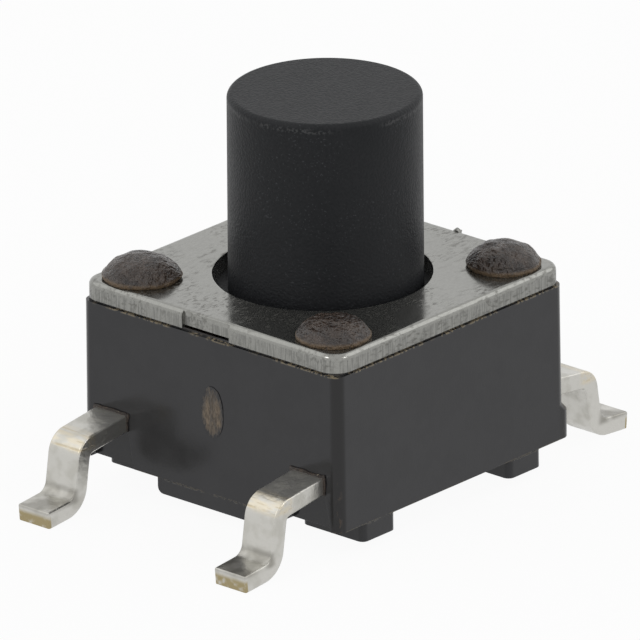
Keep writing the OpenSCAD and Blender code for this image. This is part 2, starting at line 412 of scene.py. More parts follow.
def makeMouldedPlastic():
    s = plasticSet
    material, graph, shader = newMaterial("mouldedPlastic")
    at = useGroup(graph, placeGroup, {})
    place, z = at["Place"], at["Z"]
    inner = reckon(graph, "MINIMUM", at["Side X"], at["Side Y"])
    outer = reckon(graph, "MAXIMUM", at["Side X"], at["Side Y"])
    clouds = spots(graph, place, s, "clouds")
    colour = blendColour(graph, clouds, s["dark"], s["light"])
    # painted shade: the rounded upright corners are darkened by their place, standing in for the
    # darker reflection they catch
    wide, soft = s["cornerShadeWide"]
    colour = blendColour(graph, above(graph, inner, halfBody - wide, soft), colour, s["corner"])
    wide, soft = s["wornFace"]
    low, high = (s["underside"] + way for way in s["wornSpan"])
    worn = times(graph, band(graph, z, low, high, s["wornSoft"]),
                 above(graph, outer, halfBody - wide, soft),
                 spots(graph, place, s, "wornSpots", "wornRuns"))
    colour = blendColour(graph, worn, colour, s["worn"])
    wide, soft = s["rubbedWide"]
    rubbed = times(graph, above(graph, inner, halfBody - wide, soft),
                   spots(graph, place, s, "rubbedSpots"), below(graph, z, *s["rubbedHigh"]))
    colour = blendColour(graph, rubbed, colour, s["rubbed"])
    # darker in patches in a thin band just under the cover's edge
    deep, soft = s["darkUnderCoverDepth"]
    darkUnderCover = times(graph, above(graph, z, seat - deep, soft), spots(graph, place, s, "darkUnderCoverSpots"))
    colour = blendColour(graph, darkUnderCover, colour, s["darkUnderCover"])
    low, high, soft = s["residueSpan"]
    residue = times(graph, band(graph, z, seat - low, seat - high, soft),
                    spots(graph, place, s, "residueSpots", "residueRuns"))
    colour = blendColour(graph, residue, colour, s["residue"])
    dull = reckon(graph, "MAXIMUM", reckon(graph, "MAXIMUM", worn, residue), rubbed)
    rough = reckon(graph, "MULTIPLY_ADD", clouds, s["uneven"], s["roughness"])
    rough = reckon(graph, "MAXIMUM", rough, times(graph, dull, s["dullest"]))
    shader.inputs["Specular IOR Level"].default_value = s["shine"]
    grain = times(graph, spots(graph, place, s, "grain"), s["grainHeight"])
    height = reckon(graph, "MULTIPLY_ADD", dull, s["wornHeight"], grain)
    return dress(material, shader, colour, rough, height)


# button: matte black plastic with fine grain, pale specks and a rubbed top edge, and painted light
# on its lower part
buttonMatSet = {"dark": (0.0066, 0.0075, 0.0088), "light": (0.0125, 0.0132, 0.0146),
                # the low colour is painted light: a lighter tone for the button's lower part
                "low": (0.0155, 0.0162, 0.018), "paintedLightBelow": (4.3, 0.7),
                "grain": (0.045, 0.3, 0.7), "grainHeight": 0.004, "clouds": (0.9, 0.1, 0.6),
                "speck": (0.06, 0.063, 0.068), "specks": (0.035, 0.62, 0.72),
                "speckRuns": (0.8, 0.38, 0.58), "speckShare": 0.6,
                "rubbed": (0.05, 0.051, 0.052), "rubbedSpan": (0.16, 0.08, 0.02),
                "rubbedSpots": (0.045, 0.46, 0.6), "rubbedRuns": (0.8, 0.4, 0.55),
                "roughness": 0.46, "uneven": 0.1, "shine": 0.2}


def makeButtonPlastic():
    s = buttonMatSet
    material, graph, shader = newMaterial("buttonPlastic")
    at = useGroup(graph, placeGroup, {})
    place, z = at["Place"], at["Z"]
    grain = spots(graph, place, s, "grain")
    tone = times(graph, grain, spots(graph, place, s, "clouds"))
    colour = blendColour(graph, tone, s["dark"], s["light"])
    # painted light: the button is lightened below this height, making up for the shade under the
    # cover
    colour = blendColour(graph, below(graph, z, *s["paintedLightBelow"]), colour, s["low"])
    specks = times(graph, spots(graph, place, s, "specks", "speckRuns"), s["speckShare"])
    colour = blendColour(graph, specks, colour, s["speck"])
    low, high, soft = s["rubbedSpan"]
    rubbed = times(graph, band(graph, z, buttonHigh.z - low, buttonHigh.z - high, soft),
                   spots(graph, place, s, "rubbedSpots", "rubbedRuns"))
    colour = blendColour(graph, rubbed, colour, s["rubbed"])
    rough = reckon(graph, "MULTIPLY_ADD", grain, s["uneven"], s["roughness"])
    shader.inputs["Specular IOR Level"].default_value = s["shine"]
    return dress(material, shader, colour, rough, times(graph, grain, s["grainHeight"]))


# lead frames: satin tin plate, rubbed to the brass at the bends and bare at the cut ends, with a
# painted reflection of the dark base on the feet's tops
tinSet = {"tin": (0.56, 0.55, 0.515), "dull": (0.5, 0.49, 0.45), "dullSpots": (0.3, 0.42, 0.66),
          "outside": (0.8, 0.08), "warm": (0.62, 0.56, 0.44), "knee": (1.14, 1.4, 0.05),
          "warmSpots": (0.1, 0.3, 0.62, (0.25, 1, 1)), "warmShare": 0.8,
          # the darker colour next is a painted reflection of the dark base on the feet's tops
          "paintedReflection": (0.2, 0.19, 0.165), "footReflection": (0.27, 0.52, 0.05), "footFrom": (4.2, 0.08),
          "reflectionSpots": (0.4, 0.3, 0.6), "reflectionShare": 0.7,
          "scratch": (0.46, 0.38, 0.24), "line": (1.17, 1.2, 0.012),
          "lineSpots": (0.35, 0.4, 0.55), "lineShare": 0.6,
          "fine": (0.035, 0.58, 0.68, (0.08, 1, 1)), "fineShare": 0.5, "scratchHeight": -0.004,
          "brass": (0.36, 0.3, 0.17), "brassSpots": (0.16, 0.2, 0.5), "brassHigh": (0.2, 0.05),
          "endFace": (0.017, 0.012), "endLean": 0.3, "waves": (0.09, 0.2, 0.8),
          "waveHeight": 0.003, "bright": 0.93, "roughness": 0.3, "uneven": 0.1,
          "brassRough": 0.5}


def makeTinPlate():
    s = tinSet
    material, graph, shader = newMaterial("tinPlate")
    at = useGroup(graph, placeGroup, {})
    place, z = at["Place"], at["Z"]
    dull = spots(graph, place, s, "dullSpots")
    colour = blendColour(graph, dull, s["tin"], s["dull"])
    shifted = reckon(graph, "ABSOLUTE", reckon(graph, "SUBTRACT", at["Y"], leadSet["aside"]))
    out, soft = s["outside"]
    outside = above(graph, shifted, halfBody + out, soft)
    knee = times(graph, outside, band(graph, z, *s["knee"]))
    warm = times(graph, knee, spots(graph, place, s, "warmSpots"), s["warmShare"])
    colour = blendColour(graph, warm, colour, s["warm"])
    # painted reflection: the feet's tops are darkened where they would mirror the dark base
    footReflection = times(graph, band(graph, z, *s["footReflection"]), above(graph, shifted, *s["footFrom"]),
                    spots(graph, place, s, "reflectionSpots"), s["reflectionShare"])
    colour = blendColour(graph, footReflection, colour, s["paintedReflection"])
    line = times(graph, outside, band(graph, z, *s["line"]),
                 spots(graph, place, s, "lineSpots"), s["lineShare"])
    fine = times(graph, knee, spots(graph, place, s, "fine"), s["fineShare"])
    scratches = reckon(graph, "MAXIMUM", line, fine)
    colour = blendColour(graph, scratches, colour, s["scratch"])
    slope = math.tan(math.radians(leadSet["footSlope"]))
    endFace = reckon(graph, "MULTIPLY_ADD", z, -slope, shifted)
    deep, soft = s["endFace"]
    cutEnd = above(graph, endFace, leadHigh.y - s["endLean"] * slope - deep, soft)
    brass = times(graph, cutEnd, spots(graph, place, s, "brassSpots"),
                  below(graph, z, *s["brassHigh"]))
    colour = blendColour(graph, brass, colour, s["brass"])
    shader.inputs["Metallic"].default_value = s["bright"]
    rough = reckon(graph, "MULTIPLY_ADD", dull, s["uneven"], s["roughness"])
    rough = reckon(graph, "MAXIMUM", rough, times(graph, brass, s["brassRough"]))
    waves = times(graph, spots(graph, place, s, "waves"), s["waveHeight"])
    height = reckon(graph, "MULTIPLY_ADD", scratches, s["scratchHeight"], waves)
    return dress(material, shader, colour, rough, height)


# cover: rolled sheet with a dull gloss, dark specks along the rolling and sheared edges; the dark
# streaks on the sheared sides are real shear marks and also painted shade that darkens the sides
coverMatSet = {"sheet": (0.29, 0.29, 0.272), "stain": (0.17, 0.168, 0.155),
               "grain": (0.03, 0.3, 0.7, (1, 0.4, 1)), "grainShare": 0.25,
               "specks": (0.05, 0.5, 0.66, (1, 0.4, 1)), "speckRuns": (0.9, 0.4, 0.6),
               "stains": (0.11, 0.5, 0.7, (1, 0.4, 1)),
               "stainRuns": (0.6, 0.46, 0.64, (1, 0.4, 1)), "markShare": 0.8,
               # the edge colour darkens the side streaks: partly real shear marks, partly painted
               # shade on the sides
               "edge": (0.17, 0.17, 0.16), "edgeDeep": 0.07, "edgeLow": 0.1, "edgeSoft": 0.02,
               "streaksAndSideShade": (0.035, 0.4, 0.65, (1, 1, 0.08)), "streakAndShadeShare": 0.8,
               "streakHeight": 0.004, "waves": (0.12, 0.2, 0.8), "waveHeight": 0.0004,
               "haze": (0.25, 0.3, 0.7), "bright": 0.93, "roughness": 0.13, "hazeRough": 0.05,
               "markRough": 0.25, "edgeRough": 0.15}


def makeCoverSteel():
    s = coverMatSet
    material, graph, shader = newMaterial("coverSteel")
    at = useGroup(graph, placeGroup, {})
    place, z = at["Place"], at["Z"]
    outer = reckon(graph, "MAXIMUM", at["Side X"], at["Side Y"])
    marks = reckon(graph, "MAXIMUM", spots(graph, place, s, "specks", "speckRuns"),
                   spots(graph, place, s, "stains", "stainRuns"))
    grain = times(graph, spots(graph, place, s, "grain"), s["grainShare"])
    colour = blendColour(graph, grain, s["sheet"], s["stain"])
    colour = blendColour(graph, times(graph, marks, s["markShare"]), colour, s["stain"])
    sheared = times(graph, above(graph, outer, sheetHalf - s["edgeDeep"], s["edgeSoft"]),
                    below(graph, z, sheetTop - s["edgeLow"], s["edgeSoft"]))
    # streaks on the sheared sides: real shear marks, darkened further as painted shade on the
    # sides
    streaksAndSideShade = times(graph, sheared, spots(graph, place, s, "streaksAndSideShade"))
    colour = blendColour(graph, times(graph, streaksAndSideShade, s["streakAndShadeShare"]), colour, s["edge"])
    shader.inputs["Metallic"].default_value = s["bright"]
    haze = spots(graph, place, s, "haze")
    rough = reckon(graph, "MULTIPLY_ADD", haze, s["hazeRough"], s["roughness"])
    rough = reckon(graph, "MULTIPLY_ADD", marks, s["markRough"], rough)
    rough = reckon(graph, "MULTIPLY_ADD", sheared, s["edgeRough"], rough)
    waves = times(graph, spots(graph, place, s, "waves"), s["waveHeight"])
    height = reckon(graph, "MULTIPLY_ADD", streaksAndSideShade, s["streakHeight"], waves)
    return dress(material, shader, colour, rough, height)


# melted stakes: the base's plastic, scorched brown, wrinkled and tan round its rim
meltSet = {"top": (0.038, 0.025, 0.018), "deep": (0.013, 0.008, 0.006),
           "blotches": (0.25, 0.35, 0.65), "wrinkles": (0.11, 0.3, 0.7), "wrinkleHeight": 0.03,
           "fine": (0.045, 0.3, 0.7), "fineHeight": 0.009, "pale": (0.085, 0.062, 0.048),
           "paleRuns": (0.3, 0.4, 0.65), "paleShare": 0.6, "rim": (0.12, 0.08, 0.045),
           "rimHigh": (0.075, 0.03), "rimSpots": (0.08, 0.2, 0.5), "roughness": 0.2,
           "uneven": 0.2, "rimRough": 0.3}


def makeMeltedPlastic():
    s = meltSet
    material, graph, shader = newMaterial("meltedPlastic")
    at = useGroup(graph, placeGroup, {})
    place, z = at["Place"], at["Z"]
    wrinkles, fine = spots(graph, place, s, "wrinkles"), spots(graph, place, s, "fine")
    colour = blendColour(graph, spots(graph, place, s, "blotches"), s["deep"], s["top"])
    pale = times(graph, fine, spots(graph, place, s, "paleRuns"), s["paleShare"])
    colour = blendColour(graph, pale, colour, s["pale"])
    high, soft = s["rimHigh"]
    rim = times(graph, below(graph, z, sheetTop + high, soft), spots(graph, place, s, "rimSpots"))
    colour = blendColour(graph, rim, colour, s["rim"])
    rough = reckon(graph, "MULTIPLY_ADD", fine, s["uneven"], s["roughness"])
    rough = reckon(graph, "MULTIPLY_ADD", rim, s["rimRough"], rough)
    height = reckon(graph, "MULTIPLY_ADD", wrinkles, s["wrinkleHeight"],
                    times(graph, fine, s["fineHeight"]))
    return dress(material, shader, colour, rough, height)


# scar where the moulding's gate was torn off: pale fibres that fade into the face
scarSet = {"tan": (0.185, 0.145, 0.105), "dark": (0.055, 0.043, 0.033),
           "grey": (0.1, 0.088, 0.076), "greySpots": (0.12, 0.35, 0.65, (1, 1, 0.35)),
           "pits": (0.035, 0.42, 0.68, (1, 1, 0.35)), "pitShare": 0.6, "pitHeight": -0.012,
           "rag": (0.06, 0.2, 0.8, (1, 1, 0.5)), "ragDeep": -0.35, "edge": 1.0, "fade": 0.2,
           "rough": 0.5, "smooth": 0.2}


def makeTornPlastic():
    s = scarSet
    material, graph, shader = newMaterial("tornPlastic")
    at = useGroup(graph, placeGroup, {})
    place = at["Place"]
    squares = []
    for axis, middle, size in zip("XZ", gateSet["place"], gateSet["size"]):
        way = reckon(graph, "DIVIDE", reckon(graph, "SUBTRACT", at[axis], middle), size)
        squares.append(times(graph, way, way))
    out = reckon(graph, "SQRT", reckon(graph, "ADD", *squares))
    rag = spots(graph, place, s, "rag")
    edge = reckon(graph, "MULTIPLY_ADD", rag, s["ragDeep"], s["edge"])
    inside = below(graph, reckon(graph, "SUBTRACT", out, edge), 0.0, s["fade"])
    colour = blendColour(graph, spots(graph, place, s, "greySpots"), s["tan"], s["grey"])
    pits = spots(graph, place, s, "pits")
    colour = blendColour(graph, times(graph, pits, s["pitShare"]), colour, s["dark"])
    colour = blendColour(graph, inside, plasticSet["dark"], colour)
    rough = reckon(graph, "MULTIPLY_ADD", inside, s["rough"], s["smooth"])
    shader.inputs["Specular IOR Level"].default_value = plasticSet["shine"]
    return dress(material, shader, colour, rough, times(graph, pits, inside, s["pitHeight"]))


# thin dark resin that crept out round the leads
resinSet = {"dark": (0.016, 0.010, 0.008), "light": (0.05, 0.035, 0.026),
            "lightSpots": (0.07, 0.45, 0.65), "pale": (0.3, 0.26, 0.2),
            "paleSpots": (0.05, 0.66, 0.72), "grain": (0.04, 0.3, 0.7), "grainHeight": 0.006,
            "roughness": 0.5}


def makeResin():
    s = resinSet
    material, graph, shader = newMaterial("leadResin")
    place = useGroup(graph, placeGroup, {})["Place"]
    colour = blendColour(graph, spots(graph, place, s, "lightSpots"), s["dark"], s["light"])
    colour = blendColour(graph, spots(graph, place, s, "paleSpots"), colour, s["pale"])
    height = times(graph, spots(graph, place, s, "grain"), s["grainHeight"])
    return dress(material, shader, colour, s["roughness"], height)


# snap dome: thin stainless spring sheet, brushed along its rolling
springSet = {"dark": (0.6, 0.6, 0.6), "light": (0.74, 0.74, 0.73),
             "brushed": (0.03, 0.3, 0.7, (1, 0.05, 1)), "height": 0.0006, "roughness": 0.2,
             "uneven": 0.08}


def makeSpringSteel():
    s = springSet
    material, graph, shader = newMaterial("springSteel")
    place = useGroup(graph, placeGroup, {})["Place"]
    brushed = spots(graph, place, s, "brushed")
    colour = blendColour(graph, brushed, s["dark"], s["light"])
    shader.inputs["Metallic"].default_value = 1
    rough = reckon(graph, "MULTIPLY_ADD", brushed, s["uneven"], s["roughness"])
    return dress(material, shader, colour, rough, times(graph, brushed, s["height"]))


mouldedPlastic = makeMouldedPlastic()
buttonPlastic = makeButtonPlastic()
tinPlate = makeTinPlate()
coverSteel = makeCoverSteel()
meltedPlastic = makeMeltedPlastic()
tornPlastic = makeTornPlastic()
leadResin = makeResin()
springSteel = makeSpringSteel()
print("materials ready")

# moulded base: block, relieved top edge, rear shoulder, ridges, feet, reliefs and the well
baseSet = {"under": 0.52, "corner": 0.2, "relief": 0.05, "draft": 0.0015, "soft": 0.02,
           "well": 2.35, "footSize": (1.4, 0.85), "footEnd": 0.63, "footDrop": 0.34,
           "ridgeSize": (2.46, 0.45), "ridgeDrop": 0.29, "inset": 0.02, "roundEnds": 0.12,
           "cutDepth": 0.15, "cutTop": 0.37, "cutFoot": 0.51, "cover": 0.05, "joint": 0.1,
           "cornerSteps": 8, "endSteps": 5, "softSteps": 2}


def addFinger(x, y, root):
    half = leadSet["finger"] / 2
    finger = addBox((min(x, root), y - half, leadUnder), (max(x, root), y + half, leadTop))
    return carve(finger, addCylinder(half, leadUnder, leadTop, x, y, smallSides), "UNION")


def addRelief(x, side):
    top, foot, deep = baseSet["cutTop"], baseSet["cutFoot"], baseSet["cutDepth"]
    low = baseSet["under"] - baseSet["joint"]
    cutter = addBox((x - top, -deep, low), (x + top, deep, leadUnder))
    for vertex in cutter.data.vertices:          # wider at its open lower end
        if vertex.co.z < leadUnder - clear:
            vertex.co.x = x + math.copysign(foot, vertex.co.x - x)
        vertex.co.y += side * halfBody
    return cutter


def makeBase():
    s = baseSet
    out = baseHigh.y - halfBody                  # how far the rear stands out under the leads
    block = addBox((-halfBody, -halfBody, s["under"]), (halfBody, halfBody, leadUnder - out))
    roundEdges(block, s["corner"], s["cornerSteps"], upright)
    chooseFaces(block, lambda c, n: n.z > facing)
    for rise in (out, seat - s["relief"] - leadUnder):
        bpy.ops.mesh.extrude_region_move(TRANSFORM_OT_translate={"value": (0, 0, rise)})
    bpy.ops.mesh.inset(thickness=s["relief"])
    bpy.ops.mesh.extrude_region_move(TRANSFORM_OT_translate={"value": (0, 0, s["relief"])})
    bpy.ops.object.mode_set(mode="OBJECT")
    for vertex in block.data.vertices:           # moulding draft, and the shoulder
        c = vertex.co
        narrower = 1 - s["draft"] * (c.z - s["under"])
        low = c.z < leadUnder - out / 2
        c.x *= narrower
        c.y *= narrower
        if low and c.y > 0:
            c.y += out
    for x in (-leadSet["at"], leadSet["at"]):
        for side in (-1, 1):
            carve(block, addRelief(x, side))
    footX, footY = s["footSize"]
    for x in (-1, 1):
        for y in (-1, 1):
            midX = x * (halfBody - s["inset"] - footX / 2)
            midY = y * (halfBody - s["footEnd"] - footY / 2)
            foot = addBox((midX - footX / 2, midY - footY / 2, s["under"] - s["footDrop"]),
                          (midX + footX / 2, midY + footY / 2, s["under"] + s["joint"]))
            roundEdges(foot, s["roundEnds"], s["endSteps"], upright)
            carve(block, foot, "UNION")
    for y in (-1, 1):
        outer = y * (halfBody - s["inset"])
        inner = outer - y * s["ridgeSize"][1]
        long = s["ridgeSize"][0] / 2
        bar = addBox((-long, min(inner, outer), s["under"] - s["ridgeDrop"]),
                     (long, max(inner, outer), s["under"] + s["joint"]))
        roundEdges(bar, s["roundEnds"], s["endSteps"], lambda a, b: abs(a.y - b.y) > clear
                   and max(a.z, b.z) < s["under"])
        carve(block, bar, "UNION")
    carve(block, addCylinder(s["well"], wellFloor, seat + past))
    softenEdges(block, s["soft"], s["softSteps"])
    ends = halfBody - s["cover"]                 # the lead frames' room inside the plastic
    half = leadSet["width"] / 2
    for x in (-leadSet["at"], leadSet["at"]):
        carve(block, addBox((x - half, -ends, leadUnder), (x + half, ends, leadTop)))
    padX, padY = leadSet["padAt"]
    low, high = leadTop - sunk, wellFloor + sunk
    for y in (-padY, padY):
        carve(block, addFinger(padX, y, -leadSet["at"]))
        carve(block, addCylinder(leadSet["padRadius"], low, high, padX, y, smallSides))
    carve(block, addFinger(0, 0, leadSet["at"]))
    room = leadSet["bump"] + leadSet["room"]
    carve(block, addCylinder(room, low, high, sides=smallSides))
    at = stakeSet["at"]
    low, high = seat - stakeSet["below"], sheetTop + stakeSet["above"]
    for x in (-at, at):
        for y in (-at, at):
            carve(block, addCylinder(stakeSet["shank"], low, high, x, y, smallSides), "UNION")
    return finishPiece(block, "moulded_base", "base", mouldedPlastic)


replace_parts(makeBase(), "base_housing")


# scar on the front face, left where the gate was torn off
def makeGateScar():
    s = gateSet
    deselectAll()
    bpy.ops.mesh.primitive_cylinder_add(vertices=s["sides"], radius=1, depth=s["thick"],
                                        location=(0, 0, 0), rotation=(math.pi / 2, 0, 0))
    scar = bpy.context.object
    bpy.ops.object.transform_apply(location=True, rotation=True, scale=False)
    chooseFaces(scar, lambda c, n: n.y < -facing)
    for ring in range(s["rings"]):
        bpy.ops.mesh.inset(thickness=1 / (s["rings"] + 1))
    bpy.ops.object.mode_set(mode="OBJECT")
    for vertex in scar.data.vertices:
        c = vertex.co
        spot = Vector((c.x * s["lobes"], s["lobeSeed"], c.z * s["lobes"]))
        ragged = 1 + s["ragged"] * noise.noise(spot)
        front = c.y < 0
        c.x *= s["size"][0] * ragged
        c.z *= s["size"][1] * ragged
        if front:
            spot = Vector((c.x * s["bumpSize"], s["bumpSeed"], c.z * s["bumpSize"]))
            c.y = -s["proud"] + s["bumps"] * noise.noise(spot)
        c.x += s["place"][0]
        c.y -= halfBody
        c.z += s["place"][1]
    return finishPiece(scar, "gate_scar", "base", tornPlastic, 60, weld / 5)


makeGateScar()

# ragged resin round each lead's exit
resinLip = {"reach": 0.04, "proud": 0.02, "deep": 0.05, "cuts": 7, "ragged": 0.03, "waves": 9,
            "otherWave": (7, 3, 1)}


def makeResinLips():
    s = resinLip
    half = leadSet["width"] / 2 + s["reach"]
    lips = []
    for x in (-leadSet["at"], leadSet["at"]):
        for side in (-1, 1):
            face = side * halfBody
            inside, outside = face - side * s["deep"], face + side * s["proud"]
            lip = addBox((x - half, min(inside, outside), leadUnder + sunk),
                         (x + half, max(inside, outside), leadTop + s["reach"]))
            chooseFaces(lip, lambda c, n: True)
            bpy.ops.mesh.subdivide(number_cuts=s["cuts"])
            bpy.ops.object.mode_set(mode="OBJECT")
            for vertex in lip.data.vertices:
                spot = vertex.co * s["waves"]
                other = spot + Vector(s["otherWave"])
                vertex.co += Vector((noise.noise(spot), 0, noise.noise(other))) * s["ragged"]
            lips.append(lip)
    lips = joinPieces(lips)
    return finishPiece(lips, "lead_resin", "base", leadResin, 50, weld / 5)


makeResinLips()


# one lead: a strip extruded out of the base and spun round each bend
def addLead(x, side):
    s = leadSet
    half, thick = s["width"] / 2, s["thick"]
    face = halfBody + side * s["aside"]
    middle = leadUnder + thick / 2
    strip = addBox((x - half, -sunk / 2, leadUnder), (x + half, face, leadUnder + thick))
    chooseFaces(strip, lambda c, n: n.y > facing)
    at = Vector((face, middle))                  # where the strip ends, in the Y-Z plane
    heading = 0

    def bend(radius, turn):
        nonlocal at, heading
        normal = Vector((-math.sin(heading), math.cos(heading)))
        centre = at + normal * math.copysign(radius, turn)
        steps = max(2, int(s["steps"] * abs(turn) / s["stepsTurn"]))
        bpy.ops.mesh.spin(steps=steps, angle=-turn, center=(x, centre.x, centre.y),
                          axis=(1, 0, 0))
        heading += turn
        normal = Vector((-math.sin(heading), math.cos(heading)))
        at = centre - normal * math.copysign(radius, turn)

    def go(length):
        nonlocal at
        step = Vector((math.cos(heading), math.sin(heading))) * length
        bpy.ops.mesh.extrude_region_move(TRANSFORM_OT_translate={"value": (0, step.x, step.y)})
        at = at + step

    arm, drop, foot = (math.radians(s[k]) for k in ("armSlope", "dropSlope", "footSlope"))
    bend(s["rootRadius"], -arm)
    go(s["arm"])
    bend(s["knee"] + thick / 2, arm - drop)
    go(s["drop"])
    bend(s["heel"] + thick / 2, drop - foot)
    go(s["foot"])
    bpy.ops.mesh.select_all(action="SELECT")
    bpy.ops.mesh.remove_doubles(threshold=weld)
    bpy.ops.mesh.normals_make_consistent(inside=False)
    bpy.ops.object.mode_set(mode="OBJECT")
    softenEdges(strip, s["soft"], s["softSteps"], s["softAngle"])
    if side < 0:                                 # mirrored, so its faces are turned outwards again
        pick(strip)
        strip.scale = (1, -1, 1)
        bpy.ops.object.transform_apply(location=False, rotation=False, scale=True)
        bpy.ops.object.mode_set(mode="EDIT")
        bpy.ops.mesh.select_all(action="SELECT")
        bpy.ops.mesh.normals_make_consistent(inside=False)
        bpy.ops.object.mode_set(mode="OBJECT")
    return strip


# domed contact in the middle of the well
def addBump():
    s = leadSet
    rise = s["skin"] + s["bumpRise"]
    ball = (s["bump"] ** 2 + rise ** 2) / (2 * rise)
    deselectAll()
    bpy.ops.mesh.primitive_uv_sphere_add(segments=s["bumpSides"], ring_count=s["bumpSides"],
                                         radius=ball, location=(0, 0, leadTop + rise - ball))
    bump = bpy.context.object
    bpy.ops.object.transform_apply(location=True, rotation=False, scale=False)
    kept = addBox((-past, -past, leadTop - sunk), (past, past, leadTop + past))
    return carve(bump, kept, "INTERSECT")


def makeLeads(x, name):
    padX, padY = leadSet["padAt"]
    strip = carve(addLead(x, 1), addLead(x, -1), "UNION")
    if x < 0:
        for y in (-padY, padY):
            carve(strip, addFinger(padX, y, x), "UNION")
            carve(strip, addCylinder(leadSet["padRadius"], leadTop - sunk, wellFloor, padX, y,
                                     smallSides), "UNION")
    else:
        carve(strip, addFinger(0, 0, x), "UNION")
        carve(strip, addBump(), "UNION")
    return finishPiece(strip, name, "base", tinPlate)


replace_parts(makeLeads(-leadSet["at"], "left_lead_frame"), "terminal_left")
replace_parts(makeLeads(leadSet["at"], "right_lead_frame"), "terminal_right")

# cover plate: rounded square with a rolled upper edge, punched for the button and the stakes
coverSet = {"corner": 0.36, "cornerSteps": 12, "roll": 0.11, "rollSteps": 6, "hole": 1.885,
            "holeSides": 128, "holeSoft": 0.03, "holeSteps": 3, "notch": (-0.6, 0.47),
            "notchDepth": 0.05, "gap": 0.055, "gapDepth": 0.35, "stubSoft": 0.05,
            "stubSteps": 4, "stubLong": 0.5}
burrSet = {"span": (0.46, 0.6), "deep": 0.09, "low": 0.16, "high": 0.035, "out": 0.012,
           "cuts": 4, "middle": 0.05, "core": 0.09, "shrink": 0.8, "waves": 12, "ragged": 0.02}


def addBurr():
    s = burrSet
    half = sheetHalf
    left, right = s["span"]
    burr = addBox((left, half - s["deep"], sheetTop - s["low"]),
                  (right, half + s["out"], sheetTop + s["high"]))
    chooseFaces(burr, lambda c, n: True)
    bpy.ops.mesh.subdivide(number_cuts=s["cuts"])
    bpy.ops.object.mode_set(mode="OBJECT")
    middle = Vector(((left + right) / 2, half - s["deep"] / 2, sheetTop - s["middle"]))
    for vertex in burr.data.vertices:            # a torn knob, rounder than a box
        away = vertex.co - middle
        vertex.co = middle + away * (s["shrink"] if away.length > s["core"] else 1)
        vertex.co += noise.noise_vector(vertex.co * s["waves"]) * s["ragged"]
    return burr


def makeCover():
    s = coverSet
    half = sheetHalf
    plate = addBox((-half, -half, seat), (half, half, sheetTop))
    roundEdges(plate, s["corner"], s["cornerSteps"], upright)
    roundEdges(plate, s["roll"], s["rollSteps"], lambda a, b: min(a.z, b.z) > sheetTop - near)
    left, right = s["notch"]
    for y in (-1, 1):
        edge = y * (half - s["notchDepth"])
        carve(plate, addBox((left, min(edge, 2 * edge), seat - past),
                            (right, max(edge, 2 * edge), sheetTop + past)))
        inner = y * (half - s["gapDepth"])
        carve(plate, addBox((left, min(inner, 2 * inner), seat - past),
                            (right, max(inner, 2 * inner), seat + s["gap"])))
    stub = half - s["notchDepth"]
    roundEdges(plate, s["stubSoft"], s["stubSteps"],
               lambda a, b: min(a.z, b.z) > seat + s["gap"] + clear
               and abs(abs(a.y) - stub) < near and abs(abs(b.y) - stub) < near
               and abs(a.x - b.x) > s["stubLong"])
    carve(plate, addCylinder(s["hole"], seat - past, sheetTop + past, sides=s["holeSides"]))
    roundEdges(plate, s["holeSoft"], s["holeSteps"],
               lambda a, b: min(a.z, b.z) > sheetTop - near
               and abs(a.xy.length - s["hole"]) < 2 * near
               and abs(b.xy.length - s["hole"]) < 2 * near)
    at = stakeSet["at"]
    for x in (-at, at):
        for y in (-at, at):
            carve(plate, addCylinder(stakeSet["shank"], seat - past, sheetTop + past, x, y,
                                     smallSides))
    carve(plate, addBurr(), "UNION")
    return finishPiece(plate, "cover_sheet", "base", coverSteel, 30)


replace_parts(makeCover(), "cover_plate")

# button: turned form with a flange, hub and nub under the cover, leaning a little in its hole
buttonSet = {"radius": 1.68, "flangeThick": 0.5, "hub": 1.1, "nubLong": 0.43, "nub": 0.6,
             "edge": 0.1, "edgeSteps": 6, "sides": 160, "aside": (0.012, 0.072),
             "lean": (0.003, 0.0038), "draft": 0.0019, "waist": 5.3}


def makeButton():
    s = buttonSet
    under = seat - s["flangeThick"]
    hubEnd = buttonLow.z + s["nubLong"]
    stem = addCylinder(s["nub"], buttonLow.z, hubEnd, sides=s["sides"])
    chooseFaces(stem, lambda c, n: n.z > facing)
    steps = ((s["hub"], under - hubEnd), (buttonHigh.x, s["flangeThick"]),
             (s["radius"], buttonHigh.z - seat))
    radius = s["nub"]
    for wider, height in steps:
        bpy.ops.mesh.extrude_region_move(TRANSFORM_OT_translate={"value": (0, 0, 0)})
        grow = wider / radius
        bpy.ops.transform.resize(value=(grow, grow, 1))
        bpy.ops.mesh.extrude_region_move(TRANSFORM_OT_translate={"value": (0, 0, height)})
        radius = wider
    bpy.ops.object.mode_set(mode="OBJECT")
    roundEdges(stem, s["edge"], s["edgeSteps"],
               lambda a, b: min(a.z, b.z) > buttonHigh.z - near)
    for vertex in stem.data.vertices:
        rise = max(0, vertex.co.z - seat)
        if rise > 0:                             # moulding draft: slimmer towards the top
            vertex.co.xy *= 1 - s["draft"] * (vertex.co.z - s["waist"])
        vertex.co.x += s["aside"][0] + s["lean"][0] * rise
        vertex.co.y += s["aside"][1] + s["lean"][1] * rise
    return finishPiece(stem, "button_cap", "button", buttonPlastic, 35)


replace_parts(makeButton(), "plunger")

# melted stake heads: pressed domes with a thin lifted rim, each wrinkled in its own way
headSet = {"rings": 96, "sides": 128, "wrinkle": (0.03, 3.1), "crease": (0.012, 9),
           "lump": (0.035, 1.3), "round": 0.55, "crumple": 5, "tuck": 2.5, "bedded": 0.03,
           "heads": ((-1, -1, 0.69, 0.385), (1, -1, 0.648, 0.355), (1, 1, 0.648, 0.4),
                     (-1, 1, 0.67, 0.39)), "seeds": (1.7, 5.3),
           "ear": 0.03, "earWay": (0.86, 0.5, 0.1), "earSpread": 0.06}


